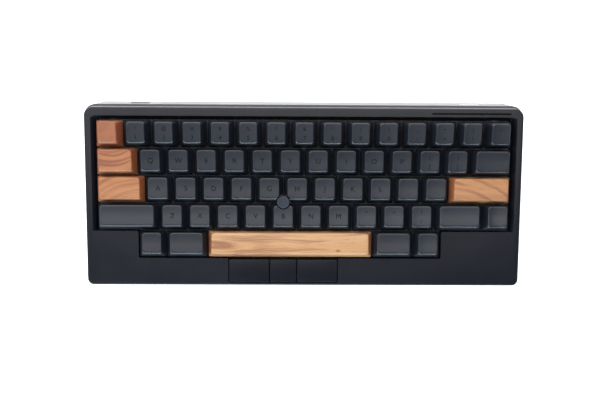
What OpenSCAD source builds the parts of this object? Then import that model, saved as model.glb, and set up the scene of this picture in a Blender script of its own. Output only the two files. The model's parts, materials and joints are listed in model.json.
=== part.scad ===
// Compact 60-key mechanical keyboard with a pointing stick and three click buttons.
// The deck frame has its origin in the middle of the case's top face: +X right, +Y to the rear,
// +Z out of the deck. rest() stands that frame on the table at the typing angle.

/* [Keys] */
// Distance from key to key
pitch = 19.05; // [19.05:0.05:19.2]
// Gap between two neighbouring keycaps at their bases
cap_gap = 0.95; // [0.8:0.05:1.2]
// Wall thickness of a keycap
cap_wall = 1.5; // [1.2:0.1:1.6]
// Radius of the finger dish across a keycap
dish_r = 30; // [24:1:60]
// Full key travel
travel = 3.6; // [3:0.1:3.6]

/* [Case] */
// Width at the parting line, the widest place
case_w = 307.2; // [306:0.1:310]
// Wall thickness of both case shells
case_wall = 2.4; // [2:0.1:3]
// Angle of the deck to the table
typing_angle = 6.4; // [6:0.1:7]
// Height of the deck over the table at the deck's middle
deck_height = 26.5; // [26:0.1:27.5]
// Width of the slope on the left and right of the key well
well_slope = 3; // [2:0.1:3.2]
// Width of the slope behind the key well
rear_slope = 2.2; // [1.5:0.1:3]

/* [Fittings] */
// Diameter of the pointing stick's cap
stick_cap_d = 8.4; // [7.6:0.1:8.6]
// Diameter of one battery cell
cell_d = 14.3; // [14.1:0.1:14.3]
// Length of one battery cell
cell_l = 50.5; // [50:0.1:50.5]
// Length of a fold-out foot from its hinge
foot_l = 14.5; // [12:0.5:15]

/* [Hidden] */
$fn = 48;
eps = 0.01;

// Case outlines, as [half width, front y, rear y, rear corner radius, front corner radius].
rim_top = [case_w / 2 - 4.1, -61, 59.8, 4.6, 3.2];
rim_edge = [case_w / 2 - 2.4, -62.6, 61.4, 6, 4.4];
upper_seam = [case_w / 2 - 1, -63.8, 62.2, 7, 5];
lower_seam = [case_w / 2, -64.4, 63.4, 8, 5.6];
base_outline = [case_w / 2 - 4, -61.6, 68.8, 6.5, 7];
rim_edge_z = -2.2;
seam_z = -11;
seam_gap = 0.2;
base_z = 1.8;
floor_t = 2.2;
y_shift = -3.03;

// Key grid: the five rows of keys, 15 units wide.
grid_rear = 52.65;
grid_w = 15 * pitch;
well_gap = 0.6;
row5_left = -6 * pitch;
row5_right = 5 * pitch;
row5_rear = grid_rear - 4 * pitch;
grid_front = grid_rear - 5 * pitch;

// Heights in the deck frame.
cap_base_z = -1;
plate_top = -7.2;
plate_t = 1.5;
board_top = -12.2;
board_t = 1.6;
housing_top = -0.7;
spring_floor = -11.2;
spring_roof = -2.2;
slider_top = -0.8;

// Keycap profiles by row, as [rear height, front height, rear taper, front taper].
profiles = [
    [9.9, 7.8, 0.9, 2.4],
    [8.3, 7.1, 0.7, 2.4],
    [7.1, 6.9, 0.6, 2.5],
    [6.8, 7.5, 0.5, 2.7],
    [6.8, 7.5, 0.5, 2.7]
];
side_slope = 0.34;

// Each key is [row, left edge in units, width in units].
function key_x(k) = (k[1] + k[2] / 2 - 7.5) * pitch;
function key_y(k) = grid_rear - (k[0] + 0.5) * pitch;
function run_of(row, first, count) = [for (i = [0:count - 1]) [row, first + i, 1]];

esc_key = [0, 0, 1];
tab_key = [1, 0, 1.5];
control_key = [2, 0, 1.75];
return_key = [2, 12.75, 2.25];
shift_key = [3, 0, 2.25];
space_key = [4, 4, 6];
number_keys = run_of(0, 1, 14);
letters_2 = run_of(1, 1.5, 10);
letters_3 = run_of(2, 1.75, 9);
letters_4 = run_of(3, 2.25, 7);
punctuation_keys = concat(run_of(1, 11.5, 2), run_of(2, 10.75, 2), run_of(3, 9.25, 3));
command_keys = [[1, 13.5, 1.5], [3, 12.25, 1.75], [3, 14, 1],
    [4, 1.5, 1], [4, 2.5, 1.5], [4, 10, 1.5], [4, 11.5, 1]];
all_keys = concat([esc_key, tab_key, control_key, return_key, shift_key, space_key],
    number_keys, letters_2, letters_3, letters_4, punctuation_keys, command_keys);

// Key nodes, as [name, colour, keys in it].
wood = "peru";
charcoal = "darkslategray";
key_nodes = concat(
    [
        ["key_escape", wood, [esc_key]],
        ["key_tab", wood, [tab_key]],
        ["key_control", wood, [control_key]],
        ["key_return", wood, [return_key]],
        ["key_space", wood, [space_key]],
        ["key_shift_left", charcoal, [shift_key]],
        ["keys_number_row", charcoal, number_keys],
        ["keys_punctuation", charcoal, punctuation_keys],
        ["keys_command", charcoal, command_keys]
    ],
    [for (i = [0:9]) [str("key_", "qwertyuiop"[i]), charcoal, [letters_2[i]]]],
    [for (i = [0:8]) [str("key_", "asdfghjkl"[i]), charcoal, [letters_3[i]]]],
    [for (i = [0:6]) [str("key_", "zxcvbnm"[i]), charcoal, [letters_4[i]]]]
);

// Stabilised keys, as [key, distance of each stabiliser from the key's middle].
stabilised = [[shift_key, 11.9], [return_key, 11.9], [space_key, 38.1]];
wire_r = 0.8;
wire_pivot = [-8, -9.9];
wire_arm_end = -0.6;

// Pointing stick, between the third and fourth rows.
stick_x = -0.75 * pitch;
stick_y = grid_rear - 3 * pitch + 1.5;
stick_top = 6.9;
stick_notch_r = stick_cap_d / 2 + 0.9;
stick_hole_r = 3;
flexure_top = -17.4;
flexure_pivot_z = flexure_top - 0.5;
flexure_half = 7;
flexure_pin_r = 0.6;

// Click buttons below the space bar, as [left edge, right edge].
button_edges = [stick_x - 2 * pitch, stick_x - 0.5 * pitch, stick_x + 0.5 * pitch, stick_x + 2 * pitch];
button_gap = 0.5;
button_rear = grid_front - 1.2;
button_front = -60;
button_t = 1.6;
button_pivot = [-58, -4.4];
button_pin_r = 0.8;

// Indicator window in the rear bezel.
window_x = [87.6, 142.2];
window_y = 57.7;
window_w = 1.2;

// Screws: case screws join the shells, plate screws hold the plate and board to the base.
case_screws = [[-128, -53], [128, -53], [-80, -53], [60, -53], [-133, 55], [133, 55]];
plate_screws = [[-120, 33.6], [0, 33.6], [120, 33.6], [-128, -34], [112, -34], [120, -5.1]];
post_meet_z = -9;
plate_screw_tip = -17.5;
upper_post_r = 2.6;
lower_post_r = 3.2;

// Rear fittings, in the table frame.
rear_fit_z = 13.6;
usb_x = -116;
power_x = 117.4;
power_size = [15, 3.9];

// Battery bay, in the table frame.
bay_y = 56.6;
bay_z = 11.4;
bay_half = 2 * cell_l + 3.5;
door_size = [2 * bay_half - 2, 19];
door_t = 2;
door_pivot = [bay_y - door_size[1] / 2 + 0.9, 2.9];
door_pin_r = 0.7;

// Fold-out feet, in the table frame.
foot_x = 126;
foot_w = 30;
foot_pivot = [42, 4.3];
foot_barrel_r = 2;
foot_pin_r = 1.2;

// ---------- frames and outlines ----------

module rest() {
    translate([0, y_shift, deck_height]) rotate([typing_angle, 0, 0]) children();
}

module on_table() {
    translate([0, y_shift, 0]) children();
}

module at_key(k) {
    translate([key_x(k), key_y(k), 0]) children();
}

// Corner circles of an outline [half width, front, rear, rear radius, front radius], grown by g.
module outline_slab(o, z, t, g = 0) {
    for (side = [-1, 1]) {
        translate([side * (o[0] - o[3]), o[2] - o[3], z]) cylinder(h = t, r = o[3] + g, $fn = 32);
        translate([side * (o[0] - o[4]), o[1] + o[4], z]) cylinder(h = t, r = o[4] + g, $fn = 32);
    }
}

module rounded_rect(x0, x1, y0, y1, r) {
    translate([x0 + r, y0]) square([x1 - x0 - 2 * r, y1 - y0]);
    translate([x0, y0 + r]) square([x1 - x0, y1 - y0 - 2 * r]);
    for (x = [x0 + r, x1 - r], y = [y0 + r, y1 - r]) translate([x, y]) circle(r = r);
}

module rounded_block(x0, x1, y0, y1, z0, z1, r) {
    translate([0, 0, z0]) linear_extrude(height = z1 - z0) rounded_rect(x0, x1, y0, y1, r);
}

module block(x0, x1, y0, y1, z0, z1) {
    translate([x0, y0, z0]) cube([x1 - x0, y1 - y0, z1 - z0]);
}

module bore(x, y, r, z0, z1) {
    translate([x, y, z0]) cylinder(h = z1 - z0, r = r);
}

module well_shape(g, z0, z1, r) {
    rounded_block(-grid_w / 2 - well_gap - g, grid_w / 2 + well_gap + g,
        row5_rear - well_gap - g, grid_rear + well_gap + g, z0, z1, r);
    rounded_block(row5_left - well_gap - g, row5_right + well_gap + g,
        grid_front - well_gap - g, row5_rear + pitch / 2, z0, z1, r);
}

// ---------- case ----------

module well_slopes() {
    half = grid_w / 2 + well_gap;
    rear = grid_rear + well_gap;
    front = row5_rear - well_gap;
    hull() {
        block(-half - well_slope, half + well_slope, front, rear + rear_slope, -0.02, 0.5);
        block(-half, half, front, rear, -4, -3.6);
    }
}

module top_case() {
    color("darkslategray") rest() difference() {
        union() {
            difference() {
                hull() {
                    outline_slab(rim_top, -0.1, 0.1);
                    outline_slab(rim_edge, rim_edge_z, 0.1);
                    outline_slab(upper_seam, seam_z, 0.1);
                }
                hull() {
                    outline_slab(rim_edge, -case_wall - 0.1, 0.1, -case_wall);
                    outline_slab(upper_seam, seam_z - 1, 0.1, -case_wall);
                }
            }
            well_shape(1.6, plate_top + 0.3, -1, 2);
            for (s = case_screws) bore(s[0], s[1], upper_post_r, post_meet_z, -1);
        }
        well_shape(0, -20, 1, 1);
        well_slopes();
        for (s = case_screws) bore(s[0], s[1], 1.3, post_meet_z - 1, -3.4);
        block(button_edges[0] - button_gap / 2, button_edges[3] + button_gap / 2,
            button_front - button_gap, button_rear + 5, -20, 1);
        block(button_edges[0] - 1, button_edges[3] + 1, button_front - 0.2, button_rear, -20, -7);
        rounded_block(window_x[0], window_x[1], window_y - window_w / 2, window_y + window_w / 2,
            -3, 1, window_w / 2 - eps);
    }
    color("darkslategray") rest() for (i = [0:2], x = bracket_x(i)) button_bracket(x);
}

// Brackets on the front wall that carry the click buttons' pins.
bracket_t = 1.4;
function bracket_x(i) = [button_edges[i] + 3, button_edges[i + 1] - 3];

module button_bracket(x) {
    difference() {
        block(x - bracket_t / 2, x + bracket_t / 2, -62.6, button_pivot[0] + 1.8,
            button_pivot[1] - 1.8, button_pivot[1] + 1.8);
        translate([x, button_pivot[0], button_pivot[1]]) rotate([0, 90, 0])
            cylinder(h = 2 * bracket_t, r = button_pin_r + 0.1, center = true);
    }
}

// One click button: a plate with a plunger over its switch and two pins in the brackets.
module click_button(i) {
    x0 = button_edges[i] + button_gap / 2;
    x1 = button_edges[i + 1] - button_gap / 2;
    mid = (x0 + x1) / 2;
    bx = bracket_x(i);
    color("darkslategray") rest() {
        rounded_block(x0, x1, button_front, button_rear - 0.2, -button_t, 0, 0.6);
        block(mid - 1.5, mid + 1.5, -49.5, -46.5, -8.15, -button_t);
        for (side = [0, 1]) {
            inner = bx[side] + (side == 0 ? 1 : -1) * (bracket_t / 2 + 0.3);
            lug = side == 0 ? [inner, inner + 1.6] : [inner - 1.6, inner];
            translate([lug[0], button_pivot[0], button_pivot[1]]) rotate([0, 90, 0])
                cylinder(h = lug[1] - lug[0], r = 1.5);
            block(lug[0], lug[1], button_pivot[0] - 1.2, button_pivot[0] + 1.2,
                button_pivot[1], -button_t);
            pin = side == 0 ? [bx[0] - bracket_t / 2, lug[0]] : [lug[1], bx[1] + bracket_t / 2];
            translate([pin[0], button_pivot[0], button_pivot[1]]) rotate([0, 90, 0])
                cylinder(h = pin[1] - pin[0], r = button_pin_r);
        }
    }
}

module foot_well(side, g) {
    x = side * foot_x;
    block(x - foot_w / 2 - 0.5 - g, x + foot_w / 2 + 0.5 + g, foot_pivot[0] - foot_l - 1.5 - g,
        foot_pivot[0] + 3.4 + g, g > 0 ? base_z : base_z - 1, 7.2 + g);
}

module bottom_case() {
    color("darkslategray") difference() {
        union() {
            difference() {
                hull() {
                    rest() outline_slab(lower_seam, seam_z - seam_gap - 0.1, 0.1);
                    on_table() outline_slab(base_outline, base_z, 0.1);
                }
                hull() {
                    rest() outline_slab(lower_seam, seam_z + 1, 0.1, -case_wall);
                    on_table() outline_slab(base_outline, base_z + floor_t, 0.1, -case_wall - 1);
                }
            }
            intersection() {
                hull() {
                    rest() outline_slab(lower_seam, seam_z + 20, 0.1, -1);
                    on_table() outline_slab(base_outline, base_z, 0.1, -1);
                }
                union() {
                    rest() {
                        for (s = case_screws) bore(s[0], s[1], lower_post_r, -40, post_meet_z - 0.1);
                        for (s = plate_screws) bore(s[0], s[1], 2.6, -40, board_top - board_t - 0.1);
                    }
                    on_table() {
                        for (side = [-1, 1]) foot_well(side, 1.6);
                        battery_walls();
                    }
                }
            }
        }
        on_table() {
            for (side = [-1, 1]) {
                foot_well(side, 0);
                translate([side * foot_x, foot_pivot[0], foot_pivot[1]]) rotate([0, 90, 0])
                    cylinder(h = foot_w + 3.6, r = foot_pin_r + 0.1, center = true);
                rounded_block(side * 128 - 17, side * 128 + 17, -56, -47, 0, base_z + 0.5, 4);
                rounded_block(side * 128 - 14, side * 128 + 14, 54.5, 63.5, 0, base_z + 0.5, 4);
            }
            door_opening();
            usb_window();
            power_window(0.15);
        }
        rest() {
            for (s = case_screws) {
                bore(s[0], s[1], 1.6, -40, 0);
                bore(s[0], s[1], 2.8, -45, screw_head_z(s) + 0.1);
            }
            for (s = plate_screws) bore(s[0], s[1], 1.05, plate_screw_tip - 0.5, 0);
        }
    }
}

module battery_walls() {
    for (side = [-1, 1])
        block(side * (bay_half + 0.8) - 0.8, side * (bay_half + 0.8) + 0.8, 52.6, 68, base_z, 21);
}

module door_opening() {
    block(-door_size[0] / 2 - 0.3, door_size[0] / 2 + 0.3, bay_y - door_size[1] / 2 - 0.7,
        bay_y + door_size[1] / 2 + 0.3, 0, base_z + floor_t + 1);
    translate([0, door_pivot[0], door_pivot[1]]) rotate([0, 90, 0])
        cylinder(h = door_size[0] + 5, r = door_pin_r + 0.1, center = true);
}

// ---------- plate, board and switches ----------

module mounting_plate() {
    half = grid_w / 2 + 0.3;
    color("black") rest() difference() {
        rounded_block(-half, half, grid_front + 0.3, grid_rear + 0.3, plate_top - plate_t, plate_top, 2);
        for (k = all_keys) at_key(k) block(-7, 7, -7, 7, plate_top - 2, plate_top + 1);
        for (s = stabilised, side = [-1, 1])
            at_key(s[0]) block(side * s[1] - 3.5, side * s[1] + 3.5, -8.4, 6, plate_top - 2, plate_top + 1);
        bore(stick_x, stick_y, stick_hole_r, plate_top - 2, plate_top + 1);
        for (s = plate_screws) bore(s[0], s[1], 1.15, plate_top - 2, plate_top + 1);
        for (s = case_screws) bore(s[0], s[1], upper_post_r + 0.4, plate_top - 2, plate_top + 1);
    }
}

module damper_sheet() {
    half = grid_w / 2 - 2;
    color("dimgray") rest() difference() {
        rounded_block(-half, half, grid_front + 2.5, grid_rear - 2.5, board_top + 0.3, plate_top - plate_t - 0.2, 2);
        for (k = all_keys) at_key(k) block(-7.2, 7.2, -7.2, 7.2, board_top, plate_top);
        for (s = stabilised, side = [-1, 1])
            at_key(s[0]) block(side * s[1] - 4, side * s[1] + 4, -12, 8, board_top, plate_top);
        for (s = stabilised) at_key(s[0]) block(-s[1], s[1], -12, -5, board_top, plate_top);
        bore(stick_x, stick_y, 4.5, board_top, plate_top);
        for (s = plate_screws) bore(s[0], s[1], 1.6, board_top, plate_top);
    }
}

// The board with its controller, mode switches, click switches and one socket for each key switch.
module circuit_board() {
    half = grid_w / 2 - 1.2;
    bottom = board_top - board_t;
    color("darkgreen") rest() {
        difference() {
            union() {
                rounded_block(-half, half, grid_front + 0.5, 49.8, bottom, board_top, 2);
                rounded_block(button_edges[0], button_edges[3], -56.5, grid_front + 3, bottom, board_top, 1);
            }
            for (k = all_keys) at_key(k) {
                bore(0, 0, 2.1, bottom - 1, board_top + 1);
                bore(-3.81, 2.54, 1.4, bottom - 1, board_top + 1);
                bore(2.54, 5.08, 1.4, bottom - 1, board_top + 1);
            }
            bore(stick_x, stick_y, 5.6, bottom - 1, board_top + 1);
            for (s = plate_screws) bore(s[0], s[1], 1.15, bottom - 1, board_top + 1);
            for (s = case_screws) bore(s[0], s[1], 3.8, bottom - 1, board_top + 1);
        }
        for (i = [0:2]) {
            mid = (button_edges[i] + button_edges[i + 1]) / 2;
            block(mid - 3, mid + 3, -51, -45, board_top + 0.05, board_top + 3);
            bore(mid, -48, 1.6, board_top + 3, board_top + 3.7);
        }
        for (k = all_keys) at_key(k) difference() {
            block(-5.4, 4.2, 0.9, 6.7, bottom - 1.8, bottom - 0.05);
            bore(0, 0, 2.4, bottom - 3, bottom);
            bore(-3.81, 2.54, 0.9, bottom - 3, bottom);
            bore(2.54, 5.08, 0.9, bottom - 3, bottom);
        }
        for (side = [-1, 1]) flexure_hanger(side, bottom);
        block(-62, -53, 12.4, 21.4, bottom - 1.2, bottom - 0.05);
        block(31, 45, 31.4, 36.4, bottom - 2.2, bottom - 0.05);
    }
}

module flexure_hanger(side, bottom) {
    x = stick_x + side * (flexure_half + 1);
    difference() {
        block(x - 0.7, x + 0.7, stick_y - 1.6, stick_y + 1.6, flexure_pivot_z - 1.6, bottom - 0.05);
        translate([x, stick_y, flexure_pivot_z]) rotate([0, 90, 0])
            cylinder(h = 4, r = flexure_pin_r + 0.1, center = true);
    }
}

module frustum(x, y, x1, y1, z0, z1) {
    intersection() {
        translate([0, y, z0]) rotate([90, 0, 0]) linear_extrude(height = 2 * y)
            polygon([[-x, 0], [x, 0], [x1, z1 - z0], [-x1, z1 - z0]]);
        translate([-x, 0, z0]) rotate([90, 0, 90]) linear_extrude(height = 2 * x)
            polygon([[-y, 0], [y, 0], [y1, z1 - z0], [-y1, z1 - z0]]);
    }
}

module switch_housing() {
    difference() {
        union() {
            block(-7.8, 7.8, -7.8, 7.8, plate_top + 0.05, plate_top + 1);
            frustum(6.9, 6.9, 5.5, 4.8, plate_top + 1, housing_top);
        }
        block(-3.7, 3.7, -3.2, 3.2, plate_top - 1, 1);
    }
    difference() {
        union() {
            block(-6.9, 6.9, -6.9, 6.9, board_top + 0.05, plate_top - 0.05);
            bore(0, 0, 1.95, -15.2, board_top + 0.1);
            bore(-3.81, 2.54, 0.7, -15.2, board_top + 0.1);
            bore(2.54, 5.08, 0.7, -15.2, board_top + 0.1);
        }
        block(-3.7, 3.7, -3.2, 3.2, spring_floor, plate_top + 1);
        bore(0, 0, 1.2, -14.5, plate_top);
    }
}

module switch_housings() {
    color("black") rest() for (k = all_keys) at_key(k) switch_housing();
}

// Each spring fills the tube between its outer and inner diameters.
spring_r = 2.13;
spring_wire = 0.3;

module switch_springs() {
    color("gold") rest() for (k = all_keys) at_key(k) difference() {
        bore(0, 0, spring_r, spring_floor + 0.15, spring_roof - 0.15);
        bore(0, 0, spring_r - spring_wire, spring_floor - 1, spring_roof + 1);
    }
}

// ---------- keys ----------

// The body of a keycap on its base plane, shrunk by g on its sides and lowered by top_g.
module cap_body(width, p, g, top_g) {
    a = (width * pitch - cap_gap) / 2 - g;
    b = (pitch - cap_gap) / 2 - g;
    top = max(p[0], p[1]) + 1;
    z0 = g > 0 ? -1 : 0;
    intersection() {
        translate([0, b + 1, 0]) rotate([90, 0, 0]) linear_extrude(height = 2 * b + 2)
            polygon([[-a - side_slope * -z0, z0], [a + side_slope * -z0, z0],
                [a - side_slope * top, top], [-a + side_slope * top, top]]);
        translate([-a - 1, 0, 0]) rotate([90, 0, 90]) linear_extrude(height = 2 * a + 2)
            polygon([[-b, z0], [b, z0], [b, 0], [b - p[2], p[0] - top_g],
                [-b + p[3], p[1] - top_g], [-b, 0]]);
        rounded_block(-a - 0.4, a + 0.4, -b - 0.4, b + 0.4, z0, top, 1.8);
    }
}

module dish(width, p) {
    tilt = atan((p[0] - p[1]) / (pitch - cap_gap - p[2] - p[3]));
    mid_y = (p[3] - p[2]) / 2;
    r = width > 1 ? 60 * width : dish_r;
    half = (width * pitch - cap_gap) / 2 - side_slope * p[0];
    depth = r - sqrt(r * r - half * half);
    translate([0, mid_y, (p[0] + p[1]) / 2 + r - depth]) rotate([90 + tilt, 0, 0])
        cylinder(h = 40, r = r, center = true, $fn = 200);
}

// A cap with its cross socket. Caps of two units and more have flat tops.
module keycap(k) {
    p = profiles[k[0]];
    roof = min(p[0], p[1]) - 2.1;
    translate([0, 0, cap_base_z]) difference() {
        union() {
            difference() {
                cap_body(k[2], p, 0, 0);
                cap_body(k[2], p, cap_wall, 2);
            }
            bore(0, 0, 2.75, 0.35, roof + 0.6);
            for (s = stabilised) if (s[0] == k)
                for (side = [-1, 1]) bore(side * s[1], 0, 2.75, 0.35, roof + 0.6);
        }
        if (k[2] < 2) dish(k[2], p);
        if (norm([key_x(k) - stick_x, key_y(k) - stick_y]) < pitch)
            bore(stick_x - key_x(k), stick_y - key_y(k), stick_notch_r, -1, p[0] + 1);
        cross(0, 0.06, 4.1);
        for (s = stabilised) if (s[0] == k)
            for (side = [-1, 1]) cross(side * s[1], 0.06, 4.1);
    }
}

module cross(x, g, top) {
    block(x - 2 - g, x + 2 + g, -0.6 - g, 0.6 + g, 0, top);
    block(x - 0.6 - g, x + 0.6 + g, -2 - g, 2 + g, 0, top);
}

// At full travel the slider stops just over the housing's floor, and its guide pin enters the bore there.
module slider() {
    bottom = spring_floor + travel + 0.8;
    difference() {
        block(-3.5, 3.5, -3, 3, bottom, slider_top);
        bore(0, 0, 2.3, bottom - 1, spring_roof);
    }
    bore(0, 0, 0.9, bottom - 2.2, spring_roof + 0.1);
    translate([0, 0, cap_base_z]) cross(0, 0, 3.8);
}

module stabiliser_slider(x) {
    difference() {
        block(x - 2.6, x + 2.6, -2.6, 2.6, -7.8, slider_top);
        block(x - 1.2, x + 1.2, -3, 1.7, -7.2, -3.9);
        block(x - 1.2, x + 1.2, -3, -1.2, -8, -3.9);
    }
    translate([0, 0, cap_base_z]) cross(x, 0, 3.8);
}

module key_group(keys, tint) {
    color(tint) rest() for (k = keys) at_key(k) {
        keycap(k);
        slider();
        for (s = stabilised) if (s[0] == k)
            for (side = [-1, 1]) stabiliser_slider(side * s[1]);
    }
}

module stabiliser_housings() {
    color("black") rest() for (s = stabilised, side = [-1, 1]) at_key(s[0]) difference() {
        block(side * s[1] - 3.4, side * s[1] + 3.4, -9, 5.4, board_top + 0.1, -2.6);
        block(side * s[1] - 2.9, side * s[1] + 2.9, -10, 3, board_top + 0.6, 0);
        block(side * s[1] - 4, side * s[1] + 4, -10, wire_pivot[0] + wire_r + 0.3,
            wire_pivot[1] + wire_r + 0.3, 0);
        block(side * s[1] - 4, side * s[1] + 4, -10, -5.9, -5, 0);
        translate([side * s[1], wire_pivot[0], wire_pivot[1]]) rotate([0, 90, 0])
            cylinder(h = 12, r = wire_r + 0.15, center = true);
    }
}

// The steel wire that joins the space bar's two stabilisers: a long bar with a bent arm at each end.
module space_stabiliser_wire() {
    reach = stabilised[2][1];
    color("silver") rest() at_key(space_key) {
        translate([0, wire_pivot[0], wire_pivot[1]]) rotate([0, 90, 0])
            cylinder(h = 2 * reach, r = wire_r, center = true);
        for (side = [-1, 1]) translate([side * reach, 0, 0]) {
            arm_top = [wire_arm_end, -5.6];
            rise = arm_top - wire_pivot;
            translate([0, wire_pivot[0], wire_pivot[1]]) rotate([-atan2(rise[0], rise[1]), 0, 0])
                cylinder(h = norm(rise), r = wire_r);
            translate([0, wire_pivot[0], wire_pivot[1]]) sphere(r = wire_r);
            translate([0, arm_top[0], arm_top[1]]) sphere(r = wire_r);
        }
    }
}

// ---------- pointing stick ----------

// The sensor's flexing plate, which hangs on two pins under the board.
module pointer_flexure() {
    color("silver") rest() translate([stick_x, stick_y, 0]) {
        block(-flexure_half, flexure_half, -4.5, 4.5, flexure_top - 1, flexure_top);
        translate([0, 0, flexure_pivot_z]) rotate([0, 90, 0])
            cylinder(h = 2 * flexure_half + 3, r = flexure_pin_r, center = true);
    }
}

module pointer_post() {
    color("silver") rest() translate([stick_x, stick_y, 0]) {
        bore(0, 0, 4, flexure_top + 0.15, flexure_top + 1.1);
        bore(0, 0, 1.25, flexure_top + 1, 2);
        block(-1, 1, -1, 1, 1.9, 5);
    }
}

module pointer_cap() {
    color("dimgray") rest() translate([stick_x, stick_y, 0]) difference() {
        union() {
            bore(0, 0, 2.4, 2.1, stick_top - 2.2);
            translate([0, 0, stick_top - 2.4])
                cylinder(h = 1.6, r1 = stick_cap_d / 2 - 0.7, r2 = stick_cap_d / 2);
            bore(0, 0, stick_cap_d / 2, stick_top - 0.8, stick_top);
        }
        block(-1.05, 1.05, -1.05, 1.05, 0, 5.1);
    }
}

// ---------- power ----------

module battery_cells() {
    color("goldenrod") on_table() for (i = [0:3])
        translate([(i - 2) * cell_l + 0.1, bay_y, bay_z]) rotate([0, 90, 0]) {
            cylinder(h = cell_l - 1.4, r = cell_d / 2);
            translate([0, 0, cell_l - 1.4]) cylinder(h = 1.2, r = 2.7);
        }
}

module battery_contacts() {
    color("silver") on_table() {
        block(2 * cell_l + 2.4, 2 * cell_l + 2.9, bay_y - 5, bay_y + 5, bay_z - 5, bay_z + 5);
        block(-2 * cell_l - 3.4, -2 * cell_l - 2.9, bay_y - 5, bay_y + 5, bay_z - 5, bay_z + 5);
        translate([-2 * cell_l - 2.7, bay_y, bay_z]) rotate([0, 90, 0]) for (i = [0:2])
            translate([0, 0, i * 0.9]) rotate_extrude() translate([4.4 - i * 0.9, 0]) circle(r = 0.3, $fn = 16);
        translate([-2 * cell_l - 2.95, bay_y - 0.6, bay_z - 4.8]) cube([0.35, 1.2, 9.6]);
    }
}

// The door swings about two pins at its front edge, and two tongues hold its rear edge.
module battery_door() {
    color("darkslategray") on_table() {
        rounded_block(-door_size[0] / 2, door_size[0] / 2, bay_y - door_size[1] / 2,
            bay_y + door_size[1] / 2, base_z, base_z + door_t, 0.8);
        translate([0, door_pivot[0], door_pivot[1]]) rotate([0, 90, 0])
            cylinder(h = door_size[0] + 4.4, r = door_pin_r, center = true);
        for (side = [-1, 1]) block(side * 40 - 5, side * 40 + 5, bay_y + door_size[1] / 2 - 2.4,
            bay_y + door_size[1] / 2 - 1.2, base_z + 1, base_z + 4);
    }
}

module tilt_foot(side) {
    color("darkslategray") on_table() translate([side * foot_x, foot_pivot[0], foot_pivot[1]]) {
        rounded_block(-foot_w / 2, foot_w / 2, -foot_l, 0.6, -1.7, 1.3, 1.6);
        rotate([0, 90, 0]) cylinder(h = foot_w, r = foot_barrel_r, center = true);
        rotate([0, 90, 0]) cylinder(h = foot_w + 3, r = foot_pin_r, center = true);
    }
}

module rubber_feet() {
    color("dimgray") on_table() for (side = [-1, 1]) {
        rounded_block(side * 128 - 16.8, side * 128 + 16.8, -55.8, -47.2, 0, base_z + 0.4, 3.8);
        rounded_block(side * 128 - 13.8, side * 128 + 13.8, 54.7, 63.3, 0, base_z + 0.4, 3.8);
    }
}

// ---------- screws ----------

// Height in the deck frame of the table-frame plane z at a deck position s.
function deck_z_of(z, s) = (z - deck_height - s[1] * sin(typing_angle)) / cos(typing_angle);
function screw_head_z(s) = deck_z_of(base_z + 2.9, s);

module case_screws() {
    color("silver") rest() {
        for (s = case_screws) {
            head = screw_head_z(s);
            difference() {
                bore(s[0], s[1], 2.5, head - 1.4, head);
                translate([s[0], s[1], head - 2]) cylinder(h = 1.4, r = 1.1, $fn = 6);
            }
            bore(s[0], s[1], 1.2, head - 0.4, -3.8);
        }
        for (s = plate_screws) {
            difference() {
                bore(s[0], s[1], 1.6, plate_top + 0.05, plate_top + 1.1);
                translate([s[0], s[1], plate_top + 0.5]) cylinder(h = 1, r = 0.7, $fn = 6);
            }
            bore(s[0], s[1], 1, plate_screw_tip, plate_top + 0.1);
        }
    }
}

// ---------- rear fittings ----------

// Y of the sloping rear wall's outside at height z, in the table frame before y_shift.
seam_rear = [lower_seam[2] * cos(typing_angle) - (seam_z - seam_gap) * sin(typing_angle),
    deck_height + lower_seam[2] * sin(typing_angle) + (seam_z - seam_gap) * cos(typing_angle)];
wall_lean = (base_outline[2] - seam_rear[0]) / (seam_rear[1] - base_z);
wall_lean_deg = atan(wall_lean);
function wall_y(z) = seam_rear[0] + (seam_rear[1] - z) * wall_lean;

module at_rear(x) {
    translate([x, wall_y(rear_fit_z), rear_fit_z]) rotate([wall_lean_deg, 0, 0]) children();
}

module lying_rounded(w, h, y0, y1, r) {
    translate([0, y1, 0]) rotate([90, 0, 0]) linear_extrude(height = y1 - y0)
        rounded_rect(-w / 2, w / 2, -h / 2, h / 2, r);
}

module usb_window() {
    at_rear(usb_x) lying_rounded(13.3, 6.3, -6, 2, 1);
}

module usb_socket() {
    color("silver") on_table() at_rear(usb_x) {
        difference() {
            lying_rounded(13, 6, -1.6, -0.5, 0.9);
            lying_rounded(9.3, 3.5, -3, 1, 1.6);
        }
        difference() {
            lying_rounded(9, 3.2, -9, -0.8, 1.5);
            lying_rounded(8.3, 2.5, -8.2, 1, 1.2);
        }
        translate([-3.3, -8.3, -0.35]) cube([6.6, 6.4, 0.7]);
        translate([-6, -8.6, -3]) cube([12, 7, 0.9]);
    }
}

module power_window(g) {
    at_rear(power_x) lying_rounded(power_size[0] + 2 * g, power_size[1] + 2 * g, -6, 2, power_size[1] / 2 + g - eps);
}

module power_button() {
    color("silver") on_table() at_rear(power_x) {
        lying_rounded(power_size[0], power_size[1], -3.4, 0, power_size[1] / 2 - eps);
        lying_rounded(power_size[0] + 2.4, power_size[1] + 1.2, -4.6, -3.3, power_size[1] / 2);
    }
}

module indicator_window() {
    g = 0.1;
    color("black") rest() {
        rounded_block(window_x[0] + g, window_x[1] - g, window_y - window_w / 2 + g,
            window_y + window_w / 2 - g, -2.8, -0.15, window_w / 2 - g - eps);
        block(window_x[0] - 1, window_x[1] + 1, window_y, window_y + 1, -3.4, -case_wall - 0.3);
    }
}

// ---------- nodes ----------

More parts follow.
